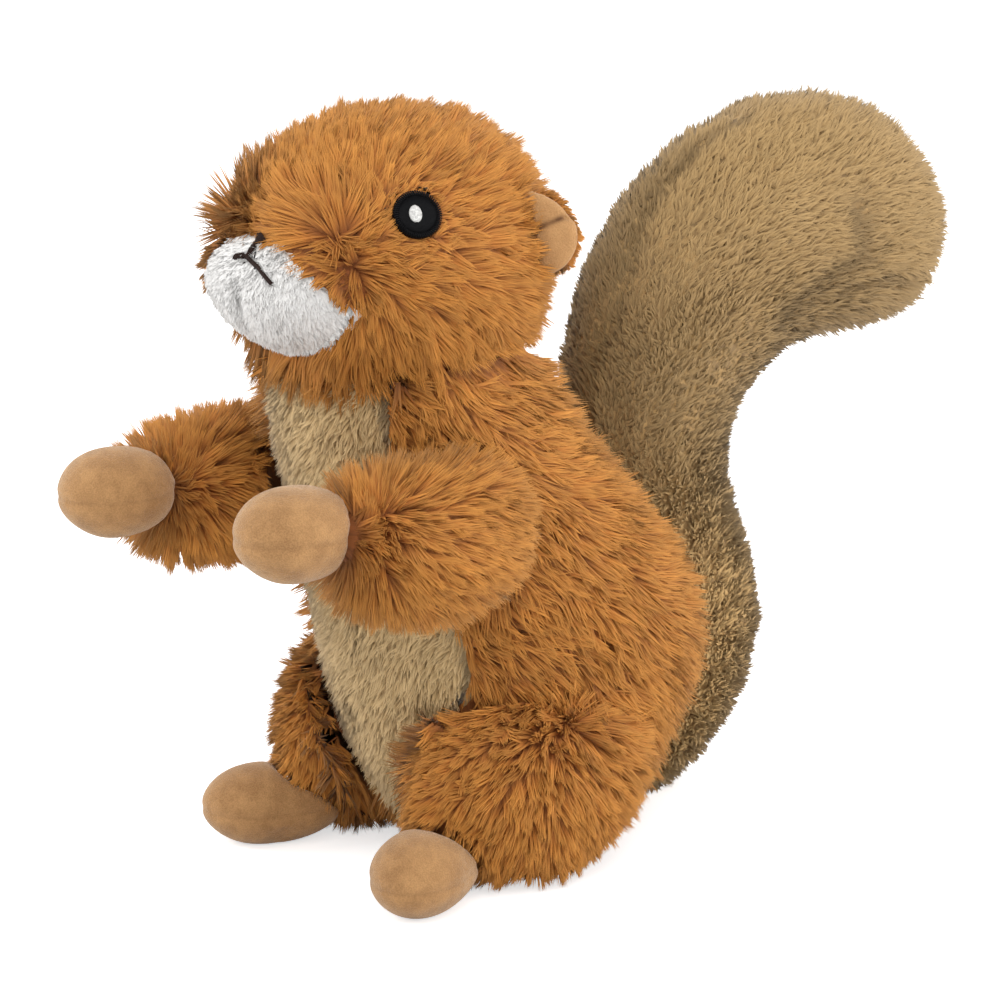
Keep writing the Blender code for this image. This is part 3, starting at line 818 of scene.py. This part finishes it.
furry(
    "head",
    ORANGE,
    "orange_fur",
    drooping(away_from(*WHORLS), 0.190, 0.9),
    keep_off=eye_spots() + MOUTH_SPOTS,
    also=("muzzle", lambda places: white_edge(places - (0, 0, 0.0010)), 0.55, 0.0012),
    seed=11,
    spacing=0.00067,
    depth=0.0062,
    length=0.0100,
    longer=bumps(
        ((0.022, -0.120, 0.214), 0.012, 0.55),
        ((0.020, -0.116, 0.168), 0.016, 0.60),
        ((0.012, -0.080, 0.248), 0.028, -0.10),
        ((0.025, -0.034, 0.235), 0.018, 0.30),
        ((0.037, -0.088, 0.172), 0.016, 0.25),
    ),
    lean=lean_from(WHORLS, 1.0, 0.72, 0.030),
    # A hollow in the brow crease above each eye, with painted shade there.
    sunk=hollows((BROW, 0.0030, 0.0032), (mirrored(BROW), 0.0030, 0.0032)),
    trim=shorter_near(eye_spots() + [(NOSE_MIDDLE, None, 0.0020)], 0.011, 0.30),
    grows=clear_of(eye_spots() + MOUTH_SPOTS, -0.0006),
    **LONG_PILE,
)
for side in ("left", "right"):
    furry(
        f"ear_{side}",
        ORANGE,
        "orange_fur",
        mixed((1.0, along((0, 0.5, -1))), (0.5, away_from(middle_of("head")))),
        seed=12,
        spacing=0.00045,
        depth=0.0022,
        length=0.0032,
        **{**LONG_PILE, "lean": 0.9, "lock": 0.0017, "width": 0.0010, "pull": 0.3, "stray": 0.4},
    )

# %% Body
HIP = [(0.0421, -0.0755, 0.0655), (0.0500, -0.0665, 0.0715), (0.0570, -0.0558, 0.0745), (0.0590, -0.0480, 0.0720)]
HIP_CREASE = [(0.0590, -0.0480, 0.0830), (0.0595, -0.0435, 0.0750), (0.0585, -0.0460, 0.0650)]
furry(
    "torso",
    ORANGE,
    "orange_fur",
    mixed((1.0, along((0, 0, -1))), (0.45, along((0, 1, 0)))),
    seed=21,
    spacing=0.00096,
    depth=0.0065,
    length=0.0105,
    lean=0.75,
    longer=bumps(((0.045, -0.088, 0.095), 0.02, 0.25), ((0.034, -0.098, 0.158), 0.014, 0.40)),
    # Hollows at the hips, with painted shade in them.
    sunk=hollows((HIP, 0.0026, 0.0030), (HIP_CREASE, 0.0035, 0.0035), (mirrored(HIP), 0.0026, 0.0030)),
    swirl=0.7,
    **{**LONG_PILE, "width": 0.0016, "lock": 0.0027, "pull": 0.45},
)
furry(
    "belly_panel",
    BEIGE,
    "beige_fur",
    along((0, -0.3, -1)),
    seed=22,
    spacing=0.0008,
    depth=0.0026,
    length=0.0046,
    lean=0.8,
    lock=0.0017,
    stray=0.35,
    pull=0.35,
    width=0.0013,
    body=0.92,
    patchy=0.7,
)
for side, sign in (("left", 1), ("right", -1)):
    wrist = middle_of(f"paw_{side}") + np.array([0, 0.012, 0])
    furry(
        f"arm_{side}",
        ORANGE,
        "orange_fur",
        mixed((1.0, away_from(wrist)), (0.35, along((0, 0, -1)))),
        seed=23,
        spacing=0.00071,
        depth=0.0060,
        length=0.0110,
        lean=lean_from([wrist], -1.1, 0.85, 0.018),
        longer=bumps((wrist * (sign, 1, 1), 0.018, 0.20)),
        **LONG_PILE,
    )
    dimple = (sign * 0.0605, -0.0440, 0.0572)
    furry(
        f"thigh_{side}",
        ORANGE,
        "orange_fur",
        mixed((1.0, away_from(dimple)), (0.35, along((0, 0, -1)))),
        seed=24,
        spacing=0.00073,
        depth=0.0062,
        length=0.0100,
        lean=lean_from([dimple], 0.6, 0.78, 0.02),
        longer=bumps(
            ((0.038, -0.096, 0.041), 0.022, -0.30),
            ((0.055, -0.020, 0.008), 0.025, -0.30),
            ((0.023, -0.062, 0.005), 0.020, 0.45),
            (dimple, 0.014, 0.25),
        ),
        swirl=0.6,
        # The thigh's pile is painted lighter than the same orange elsewhere, as painted light, and darker in the
        # dimple, as painted shade.
        tone=0.62,
        sunk=hollows(([dimple, (dimple[0], dimple[1] + 0.003, dimple[2])], 0.006, 0.0025)),
        **LONG_PILE,
    )

# %% Tail
STRIP_SEAM = [
    (0.0085, -0.010, 0.140),
    (0.0090, -0.0003, 0.1537),
    (0.0105, 0.0061, 0.1662),
    (0.0111, 0.0110, 0.1799),
    (0.0080, 0.0215, 0.2005),
    (0.0070, 0.0347, 0.2127),
    (0.0060, 0.0501, 0.2237),
    (0.0055, 0.0682, 0.2295),
]
TIP_FOLD = [(0.0304, 0.1009, 0.1958), (0.0290, 0.1054, 0.1795), (0.0279, 0.0885, 0.1717), (0.0255, 0.0732, 0.1612)]
TIP_SEAM = [(0.0168, 0.1473, 0.1663), (0.0242, 0.1180, 0.1685), (0.0245, 0.0981, 0.1657)]


def painted_tail_shade(places, out):
    """The tail's painted shade and light: the narrow strip along its front edge and the middle of the bend are painted
    darker, as painted shade, and the low part is painted lighter, as painted light.
    """
    edge = np.interp(places[:, 1], [y for _, y, _ in STRIP_SEAM], [x for x, _, _ in STRIP_SEAM])
    share = np.clip((edge - np.abs(places[:, 0])) / 0.0018, 0, 1) * np.clip((0.055 - places[:, 1]) / 0.03, 0, 1)
    shade = np.exp(-((np.linalg.norm(places - (0.014, 0.015, 0.144), axis=1) / 0.040) ** 2))
    low = np.clip((0.105 - places[:, 2]) / 0.03, 0, 1)
    return 0.5 - 0.45 * share * (places[:, 2] > 0.10) - 0.42 * shade + 0.45 * low


def round_the_bend(places, out):
    """From the tail's root up its front, and over to its tip."""
    y, z = places[:, 1] - 0.113, np.maximum(places[:, 2] - 0.125, -0.02)
    return unit(np.stack([np.zeros(len(places)), z, -y], axis=1))


folds = [(STRIP_SEAM, 0.0032, 0.0031), (TIP_FOLD, 0.0065, 0.0034), (TIP_SEAM, 0.0028, 0.0038)]
furry(
    "tail",
    TAUPE,
    "taupe_fur",
    mixed((1.0, round_the_bend), (0.5, away_from((0, 0.113, 0.125)))),
    seed=31,
    spacing=0.00105,
    cuts=2,
    depth=0.0026,
    length=0.0043,
    lean=0.8,
    lock=0.0015,
    stray=0.35,
    pull=0.25,
    width=0.0016,
    body=0.93,
    patchy=0.3,
    longer=bumps(
        ((0.012, 0.150, 0.195), 0.030, 0.35),
        ((0.012, 0.120, 0.228), 0.028, 0.30),
        ((0.012, 0.125, 0.168), 0.028, 0.50),
        ((0.020, 0.050, 0.137), 0.018, -0.30),
    ),
    lump=0.030,
    lumpy=0.0011,
    # Painted shade on the front strip and in the bend, painted light low down, and painted shade in the folds and
    # seams.
    tone=painted_tail_shade,
    sunk_tone=150,
    sunk=hollows(*folds, *((mirrored(line), width, depth) for line, width, depth in folds)),
)

# %% Muzzle
CLEFT = [(0.0008, -0.1360, 0.1950), (-0.0005, -0.1350, 0.1870), (-0.0015, -0.1310, 0.1790)]
furry(
    "muzzle",
    WHITE,
    "white_plush",
    mixed((0.6, away_from((0.003, -0.138, 0.204))), (1.0, along((0, 0, -1)))),
    keep_off=MOUTH_SPOTS,
    patch=(ORANGE, white_edge),
    seed=41,
    spacing=0.00043,
    depth=0.0013,
    length=0.0027,
    lean=1.0,
    lock=0.0014,
    stray=0.22,
    pull=0.08,
    width=0.0016,
    body=1.0,
    cuts=2,
    patchy=0.2,
    swirl=0.25,
    lumpy=0.0003,
    sunk=hollows((CLEFT, 0.0026, 0.0022)),
    # Painted shade in the cleft below the mouth.
    sunk_tone=450,
    grows=lambda places, out: clear_of(MOUTH_SPOTS)(places, out) & ~white_edge(places + (0, 0, 0.0008)),
)

# %% [markdown]
# ## Velour over filling
# The paws, the feet and the ears' linings are thin velour. Each paw is sewn from two halves that meet in a flat seam
# all round, and the filling pushes them out. Here that is simulated: the seam is held, and air pressure fills the
# cloth, which is cut a little larger than its frame, so that it puckers along the seam.

# %% Cloth
def clean_copy(node, name):
    """A solid as a new object with merged points."""
    solid = solids[node]
    mesh = bpy.data.meshes.new(name)
    mesh.from_pydata(solid.points.tolist(), [], solid.faces.tolist())
    made = bpy.data.objects.new(name, mesh)
    scene.collection.objects.link(made)
    bpy.ops.object.select_all(action="DESELECT")
    made.select_set(True)
    bpy.context.view_layer.objects.active = made
    return made


def points_of(mesh):
    points = np.empty(len(mesh.vertices) * 3)
    mesh.vertices.foreach_get("co", points)
    return points.reshape(-1, 3)


ROUNDER = (1.04, 1.03, 1.05)


def filled_cloth(node, material, seam, held, most=0.0018):
    """A stuffed cloth piece. Seam and held say which points lie on its seam and which are sewn in."""
    made = clean_copy(node, f"{node}_velour")
    if node.startswith("ear"):
        points = points_of(made.data)
        middle = points.mean(axis=0)
        points = middle + (points - middle) * (1.28, 1.28, 1.10) + (0, -0.0004, 0)
        made.data.vertices.foreach_set("co", points.ravel())
    if not node.startswith("ear"):
        points = points_of(made.data)
        middle = points.mean(axis=0)
        made.data.vertices.foreach_set("co", (middle + (points - middle) * ROUNDER).ravel())
    bpy.ops.object.modifier_add(type="SUBSURF")
    made.modifiers[-1].levels = made.modifiers[-1].render_levels = 2
    bpy.ops.object.modifier_apply(modifier=made.modifiers[-1].name)
    made.data.remesh_voxel_size = {"ear": 0.0011, "paw": 0.0014}.get(node[:3], 0.0016)
    bpy.ops.object.voxel_remesh()
    bpy.ops.object.modifier_add(type="SMOOTH")
    made.modifiers[-1].iterations = 16
    bpy.ops.object.modifier_apply(modifier=made.modifiers[-1].name)
    bpy.ops.object.shade_smooth()
    before = points_of(made.data)
    on_seam = seam(before)
    fixed = (on_seam | held(before)).nonzero()[0].tolist()
    group = made.vertex_groups.new(name="held")
    group.add(fixed, 1.0, "REPLACE")
    bpy.ops.object.modifier_add(type="CLOTH")
    cloth = made.modifiers[-1]
    settings = cloth.settings
    settings.quality = 6
    settings.mass = 0.15
    settings.tension_stiffness = settings.compression_stiffness = settings.shear_stiffness = 12
    settings.bending_stiffness = 0.05
    settings.use_pressure = True
    settings.uniform_pressure_force = 4
    settings.shrink_min = -0.005
    settings.vertex_group_mass = "held"
    settings.effector_weights.gravity = 0
    cloth.point_cache.frame_start, cloth.point_cache.frame_end = 1, 20
    for step in range(1, 21):
        scene.frame_set(step)
    bpy.ops.object.modifier_apply(modifier=cloth.name)
    scene.frame_set(1)
    after = points_of(made.data)
    shift = after - before
    reach = np.linalg.norm(shift, axis=1, keepdims=True)
    shift *= np.minimum(1, most / np.maximum(reach, 1e-9))
    made.data.vertices.foreach_set("co", (before + shift).ravel())
    print(node, "cloth moved up to", round(float(reach.max()) * 1000, 2), "mm")
    return made, on_seam


def press_in(made, amount):
    """Moves each point in along its normal by its own amount."""
    mesh = made.data
    normals = np.empty(len(mesh.vertices) * 3)
    mesh.vertices.foreach_get("normal", normals)
    points = points_of(mesh) - normals.reshape(-1, 3) * amount[:, None]
    points[:, 2] = np.maximum(points[:, 2], FLOOR_CLEARANCE)
    mesh.vertices.foreach_set("co", points.ravel())
    mesh.update()


def finish_cloth(made, node, material):
    bpy.ops.object.select_all(action="DESELECT")
    made.select_set(True)
    bpy.context.view_layer.objects.active = made
    made.vertex_groups.clear()
    bpy.ops.object.modifier_add(type="SUBSURF")
    made.modifiers[-1].levels = made.modifiers[-1].render_levels = 1
    bpy.ops.object.modifier_apply(modifier=made.modifiers[-1].name)
    bpy.ops.object.shade_smooth()
    made.data.materials.append(material)
    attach(made, "root")
    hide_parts(node)


def paint_fold_shade(made, share):
    """How much painted shade each point gets in a crease or seam, from 0 to 1, for the material."""
    painted_fold_shade = made.data.attributes.new("painted_fold_shade", "FLOAT", "POINT")
    painted_fold_shade.data.foreach_set("value", share.astype(np.float32))


print("cloth tools ready")

# %% Velour
def velour(name, dark, light):
    made, shader, wire = new_material(
        name, roughness=0.9, sheen_weight=0.7, sheen_roughness=0.35, sheen_tint=(1.0, 0.84, 0.68)
    )
    place = wire.node("ShaderNodeTexCoord", out=3)
    crushed = wire.node("ShaderNodeTexNoise", place, None, 210.0, 3.0, 0.6)
    nap = wire.node("ShaderNodeTexNoise", place, None, 2300.0, 2.0, 0.6)
    streak = wire.node("ShaderNodeTexNoise", place, None, 75.0, 2.0, 0.5)
    level = crushed.between(0.32, 0.68) * 0.35 + streak.between(0.3, 0.7) * 0.25 + nap.between(0.36, 0.64) * 0.40
    colour = level.blend(dark, light)
    painted_fold_shade = wire.node("ShaderNodeAttribute", attribute_name="painted_fold_shade", out=2)
    # Painted shade: points in a crease or seam are blended towards dark brown.
    painted_fold_shade.blend(colour, (0.10, 0.035, 0.010)).to(shader, "Base Color")
    wire.node("ShaderNodeBump", 0.7, 0.0005, None, nap + crushed * 0.8).to(shader, "Normal")
    return made


VELOUR = velour("tan_velour", (0.28, 0.137, 0.048), (0.53, 0.290, 0.115))
# A lighter copy of the tan velour for the ear linings: painted light.
PAINTED_LIGHT_VELOUR = velour("painted_light_velour", (0.44, 0.225, 0.085), (0.60, 0.330, 0.135))
print("velour is a short nap with crushed and brushed places")

# %% Paws and feet
SEAM_DEPTH = 0.0005
for side in ("left", "right"):
    for limb, sleeve in (("paw", "arm"), ("foot", "thigh")):
        node = f"{limb}_{side}"
        low, high = (np.array(corner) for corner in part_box(node))
        cover = solids[f"{sleeve}_{side}"]
        seam_height = low[2] + (high[2] - low[2]) * (0.5 if limb == "paw" else 0.48)

        def seam(points, height=seam_height):
            return np.abs(points[:, 2] - height) < 0.0009

        def held(points, cover=cover):
            return np.array([cover.tree.find_nearest(point, 0.002)[0] is not None for point in points])

        made, _ = filled_cloth(node, VELOUR, seam, held)
        points = points_of(made.data)
        gap = np.abs(points[:, 2] - seam_height)
        press_in(made, SEAM_DEPTH * np.exp(-((gap / 0.0012) ** 2)))
        finish_cloth(made, node, VELOUR)
        # Painted shade along the seam groove.
        paint_fold_shade(made, 0.16 * np.exp(-(((points_of(made.data)[:, 2] - seam_height) / 0.0005) ** 2)))
print("paws and feet are filled")

# %% Ear linings
for side, sign in (("left", 1), ("right", -1)):
    node = f"ear_lining_{side}"
    crease = [(sign * 0.0450, -0.0590, 0.2074), (sign * 0.0560, -0.0500, 0.2138)]

    def seam(points, line=crease):
        return line_gap(points, line) < 0.0012

    def held(points, cover=solids[f"ear_{side}"]):
        return np.array([cover.tree.find_nearest(point, 0.0007)[0] is not None for point in points])

    made, _ = filled_cloth(node, VELOUR, seam, held, most=0.0008)
    press_in(made, 0.0016 * np.exp(-((line_gap(points_of(made.data), crease) / 0.0015) ** 2)))
    # The linings get the lighter velour, as painted light.
    finish_cloth(made, node, PAINTED_LIGHT_VELOUR)
    # Painted shade in the crease.
    paint_fold_shade(made, np.exp(-((line_gap(points_of(made.data), crease) / 0.0009) ** 2)))
print("ear linings are creased")

# %% [markdown]
# ## Thread
# The eyes are discs of black satin stitch, with a raised ring of thread round the rim and a small white oval near
# the middle. Threads are real tubes where they can be seen one by one.

# %% Thread materials
def thread(name, colour, roughness, **settings):
    made, shader, wire = new_material(name, roughness=roughness, **settings)
    place = wire.node("ShaderNodeTexCoord", out=3)
    fluff = wire.node("ShaderNodeTexNoise", place, None, 1800.0, 2.0, 0.5)
    dark = tuple(0.6 * value for value in colour)
    fluff.between(0.3, 0.7).blend(dark, colour).to(shader, "Base Color")
    return made


BLACK = thread("black_satin", (0.0045, 0.0045, 0.0055), 0.6, specular_ior_level=0.12)
IVORY = thread("white_satin", (0.80, 0.79, 0.76), 0.5)
BROWN = thread("brown_satin", (0.030, 0.013, 0.009), 0.6, specular_ior_level=0.2)


def tube(path, radius, sides=6):
    """Points, corners and face sizes of a thread along a path of points, with pointed ends."""
    path = np.array(path, float)
    along = unit(np.gradient(path, axis=0))
    helper = np.array([0.31, 0.17, 0.93])
    side = unit(np.cross(along, helper))
    up = np.cross(side, along)
    angles = np.arange(sides) * 2 * math.pi / sides
    rings = [
        point + radius * (np.cos(angles)[:, None] * a + np.sin(angles)[:, None] * b)
        for point, a, b in zip(path[1:-1], side[1:-1], up[1:-1])
    ]
    points = np.concatenate([path[:1], *rings, path[-1:]])
    faces = []
    count = len(rings)
    for i in range(sides):
        j = (i + 1) % sides
        faces.append((0, 1 + j, 1 + i))
        for ring in range(count - 1):
            a, b = 1 + ring * sides, 1 + (ring + 1) * sides
            faces.append((a + i, a + j, b + j, b + i))
        last = 1 + (count - 1) * sides
        faces.append((last + i, last + j, len(points) - 1))
    return points, faces


def threads(name, paths, radius, material, nodes_replaced, solid_parts=()):
    """One object from many threads, with a few plain meshes added."""
    points, faces, start = [], [], 0
    for part_points, part_faces in [tube(path, radius) for path in paths] + list(solid_parts):
        points.append(part_points)
        faces += [tuple(corner + start for corner in face) for face in part_faces]
        start += len(part_points)
    mesh = bpy.data.meshes.new(name)
    mesh.from_pydata(np.concatenate(points).tolist(), [], faces)
    mesh.shade_smooth()
    mesh.materials.append(material)
    made = bpy.data.objects.new(name, mesh)
    scene.collection.objects.link(made)
    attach(made, "root")
    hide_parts(nodes_replaced)
    print(name, "has", len(faces), "faces")
    return made


print("thread ready")

# %% Nose and mouth
THREAD = 0.00022


def satin(line, half_width, pitch=0.00032, slant=0.35):
    """Threads laid side by side across a line, as seen from the front."""
    line = np.array(line, float)
    paths = []
    for start, end in zip(line[:-1], line[1:]):
        reach = end - start
        length = np.linalg.norm(reach)
        ahead = reach / length
        across = np.array([-ahead[1], ahead[0]]) + slant * ahead
        across /= np.linalg.norm(across)
        for share in np.arange(0, 1, pitch / length):
            middle = start + share * reach
            path = []
            for step, raised in ((-1.0, -0.2), (-0.85, 0.45), (0.0, 0.85), (0.85, 0.45), (1.0, -0.2)):
                place, out = on_muzzle(*(middle + across * step * half_width))
                path.append(place + out * raised * 0.001)
            paths.append(path)
    return paths


stitches = satin(MOUTH, 0.00075) + satin(NOSE_LINE, 0.0008)
left, right = (np.array(place) for place in NOSE_TOP)
foot = np.array(NOSE_LINE[0])
for share in np.arange(0.0, 0.96, 0.06):
    a, b = left + share * (foot - left), right + share * (foot - right)
    path = []
    for step, raised in ((0.0, -0.2), (0.1, 0.65), (0.5, 1.15), (0.9, 0.65), (1.0, -0.2)):
        place, out = on_muzzle(*(a + step * (b - a)))
        path.append(place + out * raised * 0.001)
    stitches.append(path)
threads("nose_and_mouth_satin", stitches, THREAD, BROWN, "nose_and_mouth_stitching")

# %% Eyes
def dome(centre, out, up, half_width, half_height, base, height, rings=6, around=40):
    """A closed low dome with an oval rim."""
    side = np.cross(up, out)
    points = [centre + out * (base + height)]
    for ring in range(1, rings + 1):
        share = ring / rings
        lift = base + height * math.sqrt(max(0.0, 1 - (0.92 * share) ** 2))
        for step in range(around):
            angle = 2 * math.pi * step / around
            flat = side * half_width * math.cos(angle) + up * half_height * math.sin(angle)
            points.append(centre + flat * share + out * lift)
    for step in range(around):
        angle = 2 * math.pi * step / around
        flat = side * half_width * math.cos(angle) + up * half_height * math.sin(angle)
        points.append(centre + flat + out * (base - 0.001))
    points.append(centre + out * (base - 0.001))
    faces = []
    for i in range(around):
        j = (i + 1) % around
        faces.append((0, 1 + i, 1 + j))
        for ring in range(rings):
            a, b = 1 + ring * around, 1 + (ring + 1) * around
            faces.append((a + i, b + i, b + j, a + j))
        last = 1 + rings * around
        faces.append((last + i, len(points) - 1, last + j))
    return np.array(points), faces


for side, sign in (("left", 1), ("right", -1)):
    eye, glint = EYES[side], middle_of(f"eye_glint_{side}")
    solid = solids[f"eye_{side}"]
    flat = solid.cross[np.argsort(-solid.area)[:40]]
    out = unit(np.linalg.svd(solid.points - solid.points.mean(axis=0))[2][2])
    out = out * np.sign(out[0] * sign)
    up = unit(np.array([0, 0, 1]) - out * out[2])
    across = np.cross(up, out)
    radius = 0.0073
    paths = []
    for step in range(64):
        angle = 2 * math.pi * step / 64
        radial = across * math.cos(angle) + up * math.sin(angle)
        along_rim = np.cross(out, radial)
        ring = [
            eye + radial * (radius - 0.0016 + 0.0017 * share) + along_rim * 0.0006 * share + out * lift
            for share, lift in ((0, 0.0004), (0.12, 0.0011), (0.5, 0.0014), (0.88, 0.0009), (1.0, -0.0004))
        ]
        paths.append(ring)
    for step in range(-20, 21):
        offset = step * 0.00028
        half = math.sqrt(max(0.0, (radius - 0.0014) ** 2 - offset**2))
        if half < 0.0008:
            continue
        path = []
        for share in (-1.0, -0.92, -0.5, 0.0, 0.5, 0.92, 1.0):
            rise = 0.0012 - 0.0007 * (share * half / radius) ** 2 - 0.0007 * (offset / radius) ** 2
            rise -= 0.0006 * (abs(share) == 1.0)
            path.append(eye + across * offset + up * share * half + out * rise)
        paths.append(path)
    base = dome(eye, out, up, radius - 0.0004, radius - 0.0004, -0.0002, 0.0013)
    threads(f"eye_{side}_satin", paths, THREAD, BLACK, f"eye_{side}", [base])
    paths = []
    centre = glint - out * ((glint - eye) @ out)
    for step in range(-10, 11):
        offset = step * 0.00024
        half = 0.0020 * math.sqrt(max(0.0, 1 - (offset / 0.0025) ** 2))
        if half < 0.0003:
            continue
        path = [
            centre + up * offset + across * share * half + out * lift
            for share, lift in ((-1.0, 0.0009), (-0.9, 0.0015), (0.0, 0.0019), (0.9, 0.0015), (1.0, 0.0009))
        ]
        paths.append(path)
    threads(f"eye_glint_{side}_satin", paths, THREAD, IVORY, f"eye_glint_{side}")

# %% Finish
total = sum(len(made.data.loop_triangles) or len(made.data.polygons) for made in bpy.data.objects if made.type == "MESH")
print("faces in all, with the solids:", total)
